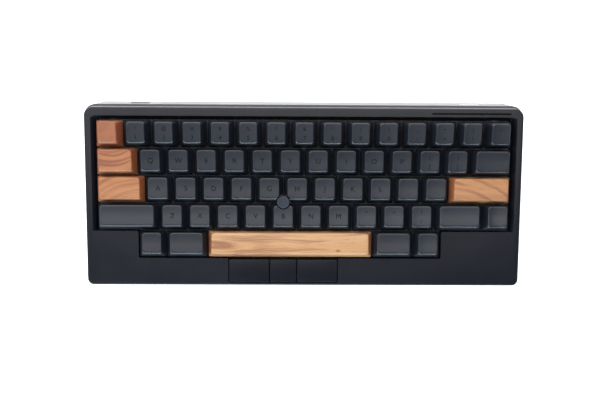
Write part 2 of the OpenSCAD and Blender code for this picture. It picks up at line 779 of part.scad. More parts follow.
top_case();
bottom_case();
mounting_plate();
circuit_board();
damper_sheet();
switch_housings();
switch_springs();
stabiliser_housings();
space_stabiliser_wire();
pointer_flexure();
pointer_post();
pointer_cap();
click_button(0);  // click_button_left
click_button(1);  // click_button_middle
click_button(2);  // click_button_right
battery_cells();
battery_contacts();
battery_door();
tilt_foot(-1);  // tilt_foot_left
tilt_foot(1);  // tilt_foot_right
rubber_feet();
case_screws();
usb_socket();
power_button();
indicator_window();
for (k = key_nodes) key_group(k[2], k[1]);
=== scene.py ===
import json
import math

import bmesh
import bpy
from mathutils import Matrix, Vector


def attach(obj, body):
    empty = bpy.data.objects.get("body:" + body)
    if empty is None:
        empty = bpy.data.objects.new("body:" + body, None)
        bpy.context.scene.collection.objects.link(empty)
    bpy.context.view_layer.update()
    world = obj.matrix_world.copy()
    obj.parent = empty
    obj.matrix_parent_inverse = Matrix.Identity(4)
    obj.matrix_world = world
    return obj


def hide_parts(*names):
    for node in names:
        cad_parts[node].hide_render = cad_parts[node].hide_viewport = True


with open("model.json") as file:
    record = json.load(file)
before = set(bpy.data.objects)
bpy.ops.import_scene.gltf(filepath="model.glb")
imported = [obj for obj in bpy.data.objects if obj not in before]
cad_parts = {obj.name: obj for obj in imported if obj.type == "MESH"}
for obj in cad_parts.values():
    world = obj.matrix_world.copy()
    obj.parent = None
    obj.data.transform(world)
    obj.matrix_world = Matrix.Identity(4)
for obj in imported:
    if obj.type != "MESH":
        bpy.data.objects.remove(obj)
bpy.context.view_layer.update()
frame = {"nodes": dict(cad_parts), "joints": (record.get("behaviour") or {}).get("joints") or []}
nodes = frame["nodes"]
joints = {j["name"]: j for j in frame["joints"]}

# ---------- driving dimensions, in millimetres ----------

MM = 0.001
PITCH = 19.05
CAP_GAP = 0.95
CAP_BASE = -1.0
GRID_REAR = 52.65
WELL_GAP = 0.6
WELL_SLOPE = 3.0
REAR_SLOPE = 2.2
WALL = 2.4
PLATE_TOP = -7.2
SEAM = -11.0
BASE = 1.8
FLOOR = 2.2
POST_TOP = -9.0
BOARD_BOTTOM = -13.8
SPRING_FLOOR, SPRING_ROOF = -11.2, -2.2

# Case outlines: half width, front, rear, rear corner radius, front corner radius.
RIM_TOP = (149.5, -61, 59.8, 4.6, 3.2)
RIM_EDGE = (151.2, -62.6, 61.4, 6, 4.4)
UPPER_SEAM = (152.6, -63.8, 62.2, 7, 5)
LOWER_SEAM = (153.6, -64.4, 63.4, 8, 5.6)
BASE_OUTLINE = (149.6, -61.6, 68.8, 6.5, 7)
RIM_EDGE_Z = -2.2

# Keycap profiles by row: rear height, front height, rear taper, front taper.
PROFILES = [
    (9.9, 7.8, 0.9, 2.4),
    (8.3, 7.1, 0.7, 2.4),
    (7.1, 6.9, 0.6, 2.5),
    (6.8, 7.5, 0.5, 2.7),
    (6.8, 7.5, 0.5, 2.7),
]
# How far a cap's sides lean in, per millimetre of height.
SIDE_SLOPE = 0.34
CAP_WALL = 1.4
# The radius of the large round along a cap's front edge.
NOSE = 1.4
SPACE_CROWN = 0.35
# The cap's post that takes the slider's cross, and that cross's outline.
POST_R = 2.75
CROSS_ARM, CROSS_HALF = 2.06, 0.66

STICK = (-0.75 * PITCH, GRID_REAR - 3 * PITCH + 1.5)
STICK_D = 8.4
STICK_TOP = 6.9
BUTTON_EDGES = [STICK[0] + k * PITCH for k in (-2, -0.5, 0.5, 2)]
BUTTON_FRONT, BUTTON_REAR = -60.0, GRID_REAR - 5 * PITCH - 1.2
BUTTON_PIVOT = (-58.0, -4.4)
PLUNGER = (-49.5, -46.5, -8.15)
WINDOW = (87.6, 142.2, 57.7)
CASE_SCREWS = [(-128, -53), (128, -53), (-80, -53), (60, -53), (-133, 55), (133, 55)]
PLATE_SCREWS = [(-120, 33.6), (0, 33.6), (120, 33.6), (-128, -34), (112, -34), (120, -5.1)]
REAR_Z, USB_X, POWER_X = 13.6, -116.0, 117.4
POWER_SIZE = (15, 3.9)
BAY_Y, BAY_Z, CELL_D, CELL_L = 56.6, 11.4, 14.3, 50.5
DOOR = (209, 19, 2)
FOOT_X, FOOT_W, FOOT_L = 126, 30, 14.5
FOOT_PIVOT = (42, 4.3)
# The rubber feet: their middle's distance from the keyboard's, and half width, front and rear of each pair.
PAD_X = 128
PADS = ((17, -56, -47), (14, 54.5, 63.5))

# The deck frame: its tilt is the key joints' axis, and the wire's hinge gives its place.
press = Vector(joints["key_space_press"]["axis"])
TILT = math.atan2(press.y, -press.z)
SPACE_Y = GRID_REAR - 4.5 * PITCH
WIRE_PIVOT = (SPACE_Y - 8, -9.9)
turn = Matrix.Rotation(TILT, 4, "X")
wire_at = Vector(joints["space_wire_turn"]["pos_m"]) - turn @ Vector((0, *WIRE_PIVOT)) * MM
DECK = Matrix.Translation((0, wire_at.y, wire_at.z)) @ turn @ Matrix.Scale(MM, 4)
foot_at = Vector(joints["tilt_foot_left_unfold"]["pos_m"])
TABLE = Matrix.Translation((0, foot_at.y - FOOT_PIVOT[0] * MM, 0)) @ Matrix.Scale(MM, 4)


# ---------- mesh helpers ----------


def outline(x0, x1, y0, y1, radii, corner=6, side=1):
    """A rounded rectangle's points, anticlockwise from the front right corner.

    Each corner has `corner` steps and each straight has `side`."""
    r = radii if isinstance(radii, (tuple, list)) else (radii,) * 4
    centres = [
        (x1 - r[0], y0 + r[0], -90),
        (x1 - r[1], y1 - r[1], 0),
        (x0 + r[2], y1 - r[2], 90),
        (x0 + r[3], y0 + r[3], 180),
    ]
    arcs = []
    for (cx, cy, start), rad in zip(centres, r):
        angles = [math.radians(start + 90 * k / corner) for k in range(corner + 1)]
        arcs.append([Vector((cx + rad * math.cos(a), cy + rad * math.sin(a))) for a in angles])
    points = []
    for arc, after in zip(arcs, arcs[1:] + arcs[:1]):
        points += arc
        points += [arc[-1].lerp(after[0], k / side) for k in range(1, side)]
    return points


def at_height(points, z):
    return [Vector((p.x, p.y, z)) for p in points]


def loft(bm, rings, slot=0, closed=True):
    """Joins rings of points with faces, and closes both ends."""
    loops = [[bm.verts.new(p) for p in ring] for ring in rings]
    faces = []
    for a, b in zip(loops, loops[1:]):
        for i in range(len(a)):
            j = (i + 1) % len(a)
            faces.append(bm.faces.new((a[i], a[j], b[j], b[i])))
    if closed:
        faces.append(bm.faces.new(loops[0][::-1]))
        faces.append(bm.faces.new(loops[-1]))
    for f in faces:
        f.material_index = slot
    return loops


def block(bm, x0, x1, y0, y1, z0, z1, slot=0, edge=0.0):
    """A box whose edges are rounded by `edge`."""
    if edge:
        prism(bm, outline(x0, x1, y0, y1, edge * 1.5, 3), z0, z1, slot, edge)
        return
    flat = [Vector((x0, y0)), Vector((x1, y0)), Vector((x1, y1)), Vector((x0, y1))]
    loft(bm, [at_height(flat, z0), at_height(flat, z1)], slot)


def shrunk(points, d):
    """An outline moved inwards by d along its own corner normals."""
    out = []
    n = len(points)
    for i, p in enumerate(points):
        before = (p - points[i - 1]).normalized()
        after = (points[(i + 1) % n] - p).normalized()
        side = before + after
        normal = Vector((-side.y, side.x)).normalized()
        out.append(p + normal * d / max(0.4, normal.dot(Vector((-before.y, before.x)))))
    return out


def prism(bm, points, z0, z1, slot=0, edge=0.0):
    """An outline raised from z0 to z1, with its two rims rounded by `edge`."""
    if not edge:
        return loft(bm, [at_height(points, z0), at_height(points, z1)], slot)
    steps = [math.radians(a) for a in (0, 30, 60, 90)]
    low = [at_height(shrunk(points, edge * (1 - math.sin(a))), z0 + edge * (1 - math.cos(a))) for a in steps]
    high = [at_height(shrunk(points, edge * (1 - math.cos(a))), z1 - edge * (1 - math.sin(a))) for a in steps]
    return loft(bm, low + high, slot)


def disc(x, y, r, steps=32):
    angles = [2 * math.pi * k / steps for k in range(steps)]
    return [Vector((x + r * math.cos(a), y + r * math.sin(a))) for a in angles]


def lathe(bm, profile, steps=32, slot=0, turn_by=None):
    """Turns (radius, height) points about Z. Radii of zero are left to the closing faces."""
    loops = loft(bm, [at_height(disc(0, 0, r, steps), z) for r, z in profile], slot)
    if turn_by:
        for loop in loops:
            for v in loop:
                v.co = turn_by @ v.co
    return loops


def rod(bm, start, end, r, steps=24, slot=0):
    """A round rod between two points, with small chamfers at its ends."""
    way = end - start
    place = Matrix.Translation(start) @ way.to_track_quat("Z", "Y").to_matrix().to_4x4()
    c = min(0.15 * r, 0.3)
    lathe(bm, [(r - c, 0), (r, c), (r, way.length - c), (r - c, way.length)], steps, slot, place)


def tube(bm, points, r, steps=8, slot=0):
    """A wire swept along points."""
    rings = []
    side = Vector((0, 0, 1))
    for i, p in enumerate(points):
        way = (points[min(i + 1, len(points) - 1)] - points[max(i - 1, 0)]).normalized()
        side = (side - way * side.dot(way)).normalized()
        up = way.cross(side)
        angles = [2 * math.pi * k / steps for k in range(steps)]
        rings.append([p + (side * math.cos(a) + up * math.sin(a)) * r for a in angles])
    loft(bm, rings, slot)


def round_path(points, r, steps=4):
    """A polygon with each corner, inward or outward, replaced by an arc."""
    out = []
    n = len(points)
    for i, p in enumerate(points):
        a, b = (points[i - 1] - p).normalized(), (points[(i + 1) % n] - p).normalized()
        half = a.angle(b) / 2
        reach = r / math.tan(half)
        centre = p + (a + b).normalized() * (r / math.sin(half))
        start, end = p + a * reach - centre, p + b * reach - centre
        sweep = math.atan2(start.x * end.y - start.y * end.x, start.dot(end))
        for k in range(steps + 1):
            out.append(centre + Matrix.Rotation(sweep * k / steps, 2) @ start)
    return out


def mesh_object(name, bm, place):
    bmesh.ops.recalc_face_normals(bm, faces=bm.faces)
    mesh = bpy.data.meshes.new(name)
    bm.to_mesh(mesh)
    bm.free()
    mesh.transform(place)
    obj = bpy.data.objects.new(name, mesh)
    bpy.context.scene.collection.objects.link(obj)
    return obj


def carve(obj, tool, how="DIFFERENCE"):
    """Cuts the tool's mesh out of obj, or adds it, and removes the tool."""
    cut = obj.modifiers.new("cut", "BOOLEAN")
    cut.operation, cut.solver, cut.object = how, "EXACT", tool
    graph = bpy.context.evaluated_depsgraph_get()
    mesh = bpy.data.meshes.new_from_object(obj.evaluated_get(graph))
    obj.modifiers.clear()
    old, obj.data = obj.data, mesh
    mesh.name = obj.name
    bpy.data.meshes.remove(old)
    bpy.data.objects.remove(tool)


def finish_piece(obj, materials, body, replaces, angle=32, bevel=0.0):
    """Shades a piece, gives it its materials, and ties it to its body."""
    parts = [f.material_index for f in obj.data.polygons]
    obj.data.materials.clear()
    for m in materials:
        obj.data.materials.append(m)
    obj.data.polygons.foreach_set("material_index", parts)
    obj.data.shade_smooth()
    obj.data.set_sharp_from_angle(angle=math.radians(angle))
    if bevel:
        soft = obj.modifiers.new("edges", "BEVEL")
        soft.width, soft.segments, soft.limit_method = bevel * MM, 2, "ANGLE"
        soft.angle_limit = math.radians(40)
        soft.harden_normals = True
    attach(obj, body)
    if replaces:
        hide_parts(*replaces)
    return obj


def piece(name, bm, place, materials, body, replaces=(), angle=32, bevel=0.0):
    return finish_piece(mesh_object(name, bm, place), materials, body, replaces, angle, bevel)


# ---------- materials ----------


class Look:
    """A material's node tree with short calls for the nodes used here."""

    def __init__(self, name):
        self.material = bpy.data.materials.new(name)
        self.material.use_nodes = True
        self.tree = self.material.node_tree
        self.shader = self.tree.nodes["Principled BSDF"]
        self.place = self.tree.nodes.new("ShaderNodeTexCoord").outputs["Object"]

    def link(self, out, to):
        self.tree.links.new(out, to)

    def scaled(self, x, y, z, shift=(0, 0, 0)):
        n = self.tree.nodes.new("ShaderNodeMapping")
        n.inputs["Scale"].default_value = (x, y, z)
        n.inputs["Location"].default_value = shift
        self.link(self.place, n.inputs["Vector"])
        return n.outputs["Vector"]

    def noise(self, vector, scale=1.0, detail=2.0, rough=0.5):
        n = self.tree.nodes.new("ShaderNodeTexNoise")
        self.link(vector, n.inputs["Vector"])
        for key, value in (("Scale", scale), ("Detail", detail), ("Roughness", rough)):
            n.inputs[key].default_value = value
        return n.outputs["Fac"]

    def math(self, how, a, b=0.0):
        n = self.tree.nodes.new("ShaderNodeMath")
        n.operation = how
        for i, value in enumerate((a, b)):
            if isinstance(value, (int, float)):
                n.inputs[i].default_value = value
            else:
                self.link(value, n.inputs[i])
        return n.outputs[0]

    def gap(self, a, b):
        """The distance between two values."""
        return self.math("ABSOLUTE", self.math("SUBTRACT", a, b))

    def length(self, a, b):
        """The length of the hypotenuse over a and b."""
        return self.math("SQRT", self.math("ADD", self.math("POWER", a, 2), self.math("POWER", b, 2)))

    def parts(self, vector):
        """A vector's X, Y and Z."""
        n = self.tree.nodes.new("ShaderNodeSeparateXYZ")
        self.link(vector, n.inputs[0])
        return n.outputs

    def ramp(self, fac, *stops):
        """A colour ramp through (position, colour) stops."""
        n = self.tree.nodes.new("ShaderNodeValToRGB")
        band = n.color_ramp
        while len(band.elements) < len(stops):
            band.elements.new(0.5)
        for e, (at, colour) in zip(band.elements, stops):
            e.position = at
            e.color = (*colour, 1)
        self.link(fac, n.inputs["Fac"])
        return n.outputs["Color"]

    def mix(self, fac, a, b):
        n = self.tree.nodes.new("ShaderNodeMix")
        n.data_type = "RGBA"
        for key, value in ((0, fac), (6, a), (7, b)):
            if isinstance(value, (int, float)):
                n.inputs[key].default_value = value
            elif isinstance(value, tuple):
                n.inputs[key].default_value = (*value, 1)
            else:
                self.link(value, n.inputs[key])
        return n.outputs[2]

    def bump(self, height, distance, strength=1.0):
        n = self.tree.nodes.new("ShaderNodeBump")
        n.inputs["Strength"].default_value = strength
        n.inputs["Distance"].default_value = distance
        self.link(height, n.inputs["Height"])
        self.link(n.outputs["Normal"], self.shader.inputs["Normal"])

    def set(self, **values):
        for key, value in values.items():
            key = key.replace("_", " ")
            if isinstance(value, (int, float)):
                self.shader.inputs[key].default_value = value
            elif isinstance(value, tuple):
                self.shader.inputs[key].default_value = (*value, 1)
            else:
                self.link(value, self.shader.inputs[key])


def spread(colour, k):
    return tuple(min(1, c * k) for c in colour)


def moulded(name, colour, rough=0.5, grain=0.25, depth=0.000012, edge_highlight_gain=1.35, specular=0.5):
    """Moulded plastic: a fine spark-eroded grain, uneven tone, and a painted highlight that lightens convex
    edges.
    """
    m = Look(name)
    fine = m.noise(m.scaled(*(1 / (grain * MM),) * 3), 1.0, 3, 0.6)
    cloud = m.noise(m.scaled(55, 55, 55), 1.0, 4, 0.55)
    tone = m.ramp(cloud, (0.3, spread(colour, 0.93)), (0.7, spread(colour, 1.07)))
    speck = m.mix(0.5, tone, m.ramp(fine, (0.35, spread(colour, 0.82)), (0.7, spread(colour, 1.16))))
    geometry = m.tree.nodes.new("ShaderNodeNewGeometry")
    # Painted highlight: convex edges, picked out by their pointiness, are mixed towards a lighter copy of the
    # colour.
    edge = m.math("MULTIPLY", m.math("SUBTRACT", geometry.outputs["Pointiness"], 0.505), 14)
    edge_highlight_mask = m.math("MINIMUM", m.math("MAXIMUM", edge, 0.0), 0.5)
    m.set(Base_Color=m.mix(edge_highlight_mask, speck, spread(colour, edge_highlight_gain)))
    m.set(Roughness=m.math("ADD", m.math("MULTIPLY", cloud, 0.12), rough - 0.06), IOR=1.47)
    m.shader.inputs["Specular IOR Level"].default_value = specular
    m.bump(fine, depth, 0.6)
    return m.material


def metal(name, colour, rough):
    """Drawn, plated or brushed metal with fine lines along X."""
    m = Look(name)
    lines = m.noise(m.scaled(40, 1500, 1500), 1.0, 4, 0.6)
    cloud = m.noise(m.scaled(90, 90, 90), 1.0, 3)
    m.set(Base_Color=m.mix(cloud, spread(colour, 0.9), spread(colour, 1.08)), Metallic=1.0)
    m.set(Roughness=m.math("ADD", m.math("MULTIPLY", lines, 0.2), rough - 0.1))
    m.bump(lines, 0.00001, 0.35)
    return m.material


def rubber(name, colour, pore, specular=0.5):
    """Rubber or foam with pores of `pore` millimetres."""
    m = Look(name)
    m.shader.inputs["Specular IOR Level"].default_value = specular
    fine = m.noise(m.scaled(*(1 / (pore * MM),) * 3), 1.0, 4, 0.7)
    cloud = m.noise(m.scaled(120, 120, 120), 1.0, 3)
    m.set(Base_Color=m.mix(cloud, spread(colour, 0.85), spread(colour, 1.2)))
    m.set(Roughness=m.math("ADD", m.math("MULTIPLY", fine, 0.2), 0.62))
    m.bump(fine, 0.00003, 0.6)
    return m.material


def wood(name, light, dark, heart, stretch, rings, shift, streak, reach=1.0, knot=None):
    """Oiled wood cut along X: uneven rings as ovals about `heart`, pores, flecks and broad bands.

    `stretch` is the ovals' height over their length, and beyond `reach` from the heart the rings
    run straight. `knot` is a small dark eye as (x, y, radius)."""
    m = Look(name)
    warp = m.noise(m.scaled(12, 40, 40, shift), 1.0, 3, 0.5)
    at = m.parts(m.place)
    along = m.math("MULTIPLY", m.math("MINIMUM", m.gap(at["X"], heart[0]), reach), stretch)
    across = m.gap(at["Y"], heart[1])
    radius = m.math("ADD", m.length(along, across), m.math("MULTIPLY", warp, 0.011))
    radius = m.math("ADD", radius, m.math("MULTIPLY", at["Z"], 0.6))
    spot = m.tree.nodes.new("ShaderNodeCombineXYZ")
    m.link(m.math("MULTIPLY", radius, rings * 2.2), spot.inputs[0])
    m.link(m.math("MULTIPLY", at["X"], 9), spot.inputs[1])
    spot.inputs[2].default_value = shift[0]
    growth = m.noise(spot.outputs[0], 1.0, 3, 0.55)
    over = m.math("MAXIMUM", m.math("SUBTRACT", growth, 0.49), 0.0)
    late = m.math("MINIMUM", m.math("MULTIPLY", over, 8.0), 1.0)
    broad = m.noise(m.scaled(6, 95, 95, shift), 1.0, 5, 0.6)
    pores = m.noise(m.scaled(55, 2600, 2600, shift), 1.0, 3, 0.7)
    fleck = m.math("GREATER_THAN", m.noise(m.scaled(110, 1700, 1700, shift), 1.0, 2), 0.66)
    brown = tuple(0.55 * a + 0.45 * b for a, b in zip(light, dark))
    base = m.ramp(broad, (0.28, spread(light, 1.08)), (0.5, light), (0.72, brown))
    ringed = m.mix(m.math("MULTIPLY", late, streak), base, dark)
    thin = m.mix(m.math("MULTIPLY", m.math("POWER", pores, 3), 1.1), ringed, spread(dark, 0.75))
    flecked = m.mix(m.math("MULTIPLY", fleck, 0.3), thin, spread(dark, 0.6))
    if knot:
        from_eye = m.length(m.math("MULTIPLY", m.gap(at["X"], knot[0]), 0.55), m.gap(at["Y"], knot[1]))
        mark = m.math("MAXIMUM", m.math("SUBTRACT", 1.0, m.math("DIVIDE", from_eye, knot[2])), 0.0)
        flecked = m.mix(mark, flecked, spread(dark, 0.6))
    normal = m.tree.nodes.new("ShaderNodeNewGeometry").outputs["Normal"]
    end_grain = m.math("POWER", m.math("ABSOLUTE", m.parts(normal)["X"]), 2)
    cut = m.mix(m.math("MULTIPLY", end_grain, 0.9), flecked, spread(dark, 1.25))
    m.set(Base_Color=cut, IOR=1.48)
    m.set(Roughness=m.math("ADD", m.math("MULTIPLY", broad, 0.15), 0.34))
    m.bump(m.math("ADD", m.math("MULTIPLY", pores, 0.7), m.math("MULTIPLY", late, 0.3)), 0.00004, 0.5)
    return m.material


def printed(name, colour, band):
    """A printed foil sleeve: fine wrinkles and a plain band of a second colour near one end."""
    m = Look(name)
    cell = m.math("FRACT", m.math("DIVIDE", m.parts(m.place)["X"], CELL_L * MM))
    end = m.math("GREATER_THAN", cell, 0.78)
    cloud = m.noise(m.scaled(300, 300, 300), 1.0, 4)
    m.set(Base_Color=m.mix(end, m.mix(cloud, spread(colour, 0.9), spread(colour, 1.1)), band))
    m.set(Roughness=m.math("ADD", m.math("MULTIPLY", cloud, 0.2), 0.25), Metallic=0.35)
    m.bump(cloud, 0.00003, 0.3)
    return m.material


CASE_TONE = (0.0028, 0.0033, 0.0056)
CAP_TONE = (0.0062, 0.0078, 0.0112)
look = {
    "case": moulded("case_plastic", CASE_TONE, 0.36, 0.35, 0.00002, specular=0.25),
    "base": moulded("base_plastic", CASE_TONE, 0.3, 0.35, 0.00002),
    "button": moulded("button_plastic_dark", spread(CASE_TONE, 0.85), 0.36, 0.35, 0.00002, specular=0.22),
    "cap": moulded("cap_plastic", CAP_TONE, 0.35, 0.22, 0.00002, 1.25),
    "legend": moulded("legend_ink", (0.0015, 0.0015, 0.002), 0.8, 0.2, specular=0.05),
    "switch": moulded("switch_plastic", (0.05, 0.05, 0.056), 0.4, 0.4),
    "slider": moulded("slider_plastic", (0.11, 0.11, 0.12), 0.35, 0.4),
    # Painted shade: the plate is made near black so that the gaps between the keys read as shaded.
    "plate": moulded("plate_gap_shade", (0.012, 0.012, 0.014), 0.6, 0.3, 0.00003),
    "window": moulded("smoked_window", (0.002, 0.002, 0.0025), 0.25, 0.6, 0.000002, 1.0, 0.05),
    "power": moulded("power_plastic", (0.5, 0.51, 0.53), 0.3, 0.4, 0.000006, 1.1),
    "tongue": moulded("tongue_plastic", (0.02, 0.02, 0.022), 0.4, 0.4),
    "board": moulded("board_mask", (0.003, 0.007, 0.005), 0.35, 1.2, 0.00001, specular=0.3),
    "foam": rubber("foam", (0.05, 0.05, 0.055), 0.9),
    "rubber": rubber("rubber_black", (0.022, 0.022, 0.024), 0.4),
    "stick": rubber("rubber_stick", (0.02, 0.024, 0.032), 0.25, 0.25),
    "spring": metal("spring_steel", (0.66, 0.6, 0.48), 0.3),
    "steel": metal("plate_steel", (0.5, 0.51, 0.53), 0.34),
    "screw": metal("screw_steel", (0.03, 0.03, 0.033), 0.4),
    "socket": metal("socket_metal", (0.78, 0.78, 0.79), 0.24),
    "contact": metal("contact_metal", (0.74, 0.73, 0.7), 0.26),
    "gold": metal("contact_gold", (0.85, 0.62, 0.25), 0.25),
    "cell": printed("cell_sleeve", (0.36, 0.25, 0.07), (0.02, 0.02, 0.022)),
    "wood_space": wood(
        "wood_space", (0.395, 0.218, 0.094), (0.15, 0.045, 0.018), (-0.068, -0.0362),
        0.16, 165, (2, 3, 1), 0.75, 0.024, (0.0236, -0.0402, 0.0013),
    ),
    "wood_escape": wood(
        "wood_escape", (0.226, 0.08, 0.031), (0.15, 0.04, 0.017), (-0.16, 0.05),
        0.5, 190, (3, 1, 2), 0.45,
    ),
    "wood_tab": wood(
        "wood_tab", (0.29, 0.113, 0.041), (0.14, 0.036, 0.014), (-0.131, 0.048),
        0.9, 150, (5, 4, 2), 0.8,
    ),
    "wood_control": wood(
        "wood_control", (0.31, 0.129, 0.046), (0.16, 0.045, 0.017), (-0.104, -0.034),
        0.8, 150, (8, 2, 6), 0.8,
    ),
    "wood_return": wood(
        "wood_return", (0.315, 0.147, 0.057), (0.15, 0.045, 0.016), (0.09, -0.036),
        0.75, 140, (1, 7, 4), 0.9,
    ),
}

# ---------- keys ----------

DIGITS = "1234567890-=\\`"
SHIFTED = "!@#$%^&*()_+|~"
WOODEN = ("escape", "tab", "control", "return", "space")


def key_list():
    """Every key as (name, row, left edge in units, width in units, legends, CAD node)."""
    keys = [(f"number_{i + 1}", 0, 1 + i, 1, DIGITS[i] + SHIFTED[i], "keys_number_row") for i in range(14)]
    for row, left, letters in ((1, 1.5, "qwertyuiop"), (2, 1.75, "asdfghjkl"), (3, 2.25, "zxcvbnm")):
        keys += [(c, row, left + i, 1, c.upper(), "key_" + c) for i, c in enumerate(letters)]
    for name, row, left, marks in (
        ("bracket", 1, 11.5, ("[{", "]}")),
        ("quote", 2, 10.75, (";:", "'\"")),
        ("stop", 3, 9.25, (",<", ".>", "/?")),
    ):
        for i, pair in enumerate(marks):
            keys.append((f"{name}_{i + 1}", row, left + i, 1, pair, "keys_punctuation"))
    for name, row, left, width in (
        ("escape", 0, 0, 1), ("tab", 1, 0, 1.5), ("control", 2, 0, 1.75), ("return", 2, 12.75, 2.25),
        ("shift_left", 3, 0, 2.25), ("space", 4, 4, 6),
    ):
        keys.append((name, row, left, width, "", "key_" + name))
    for name, row, left, width in (
        ("delete", 1, 13.5, 1.5), ("shift_right", 3, 12.25, 1.75), ("function", 3, 14, 1),
        ("alt_left", 4, 1.5, 1), ("meta_left", 4, 2.5, 1.5),
        ("meta_right", 4, 10, 1.5), ("alt_right", 4, 11.5, 1),
    ):
        keys.append((name, row, left, width, "", "keys_command"))
    return sorted(keys, key=lambda k: k[1:3])


STABILISED = {"shift_left": 11.9, "return": 11.9, "space": 38.1}


def key_centre(row, left, width):
    return (left + width / 2 - 7.5) * PITCH, GRID_REAR - (row + 0.5) * PITCH


def cap_top(row, width, rear_edge, front_edge, half, crowned):
    """A cap's top as a function of (x, y): a tilted plane with a finger dish, or a crown on the space bar."""
    rear, front = PROFILES[row][:2]
    if crowned:
        def top(x, y):
            t = (y - front_edge) / (rear_edge - front_edge)
            return front + (rear - front) * t - SPACE_CROWN * (2 * t - 1) ** 2
        return top
    r = 30 if width == 1 else 60 * width if width < 2 else 9000
    depth = r - math.sqrt(r * r - half * half)
    lip = 0.1 if row == 0 else 0.5

    def top(x, y):
        t = (y - front_edge) / (rear_edge - front_edge)
        x = max(-half, min(half, x))
        lift = lip * max(0, (t - 0.45) / 0.55) ** 2
        return front + (rear - front) * t - depth + r - math.sqrt(r * r - x * x) + lift
    return top


def cap_ring(a, b, f, row, corner_r, inset=0.0, nose=None):
    """A ring round the cap at height fraction f of its sides, `inset` inside them.

    `nose` is that pair of values for the front side."""
    rear, front, rear_taper, front_taper = PROFILES[row]
    x = a - SIDE_SLOPE * (rear + front) / 2 * f - inset
    front_f, front_inset = nose or (f, inset)
    y0 = -b + front_taper * front_f + front_inset
    y1 = b - rear_taper * f - inset
    return outline(-x, x, y0, y1, max(0.3, corner_r - inset), 5, 10), y0, y1, x


def stem_post(bm, x, roof):
    """The post under a cap, with its cross-shaped socket."""
    a, h = CROSS_ARM, CROSS_HALF
    cross = [(a, -h), (a, h), (h, h), (h, a), (-h, a), (-h, h)]
    cross += [(-px, -py) for px, py in cross]
    inner = [Vector((x + px, py)) for px, py in cross]
    outer = [Vector((x, 0)) + Vector(p).normalized() * POST_R for p in cross]
    levels = ((inner, 4.1), (inner, 0.35), (outer, 0.35), (outer, roof + 0.6))
    loft(bm, [at_height(points, z) for points, z in levels])


def notched(bm, cx, cy):
    """Cuts the round notch for the pointing stick out of a cap's mesh."""
    cap = mesh_object("cap_cut", bm, Matrix.Identity(4))
    tool = bmesh.new()
    prism(tool, disc(STICK[0] - cx, STICK[1] - cy, STICK_D / 2 + 0.9, 64), -1, 20)
    carve(cap, mesh_object("notch", tool, Matrix.Identity(4)))
    back = bmesh.new()
    back.from_mesh(cap.data)
    bpy.data.objects.remove(cap)
    return back


def legend(bm, text, x, y, size, top):
    """Printed characters: thin solids that follow the cap's dish."""
    font = bpy.data.curves.new("legend", "FONT")
    font.body, font.size = text, size
    font.align_x, font.align_y = "CENTER", "CENTER"
    font.extrude = 0.1
    font.resolution_u = 3
    holder = bpy.data.objects.new("legend", font)
    bpy.context.scene.collection.objects.link(holder)
    graph = bpy.context.evaluated_depsgraph_get()
    flat = bpy.data.meshes.new_from_object(holder.evaluated_get(graph))
    bpy.data.objects.remove(holder)
    ink = bmesh.new()
    ink.from_mesh(flat)
    bmesh.ops.remove_doubles(ink, verts=ink.verts, dist=0.001)
    for v in ink.verts:
        px, py = v.co.x + x, v.co.y + y
        v.co = Vector((px, py, top(px, py) + (0.035 if v.co.z > 0 else -0.15)))
    for f in ink.faces:
        f.material_index = 1
    ink.to_mesh(flat)
    ink.free()
    bm.from_mesh(flat)
    bpy.data.meshes.remove(flat)


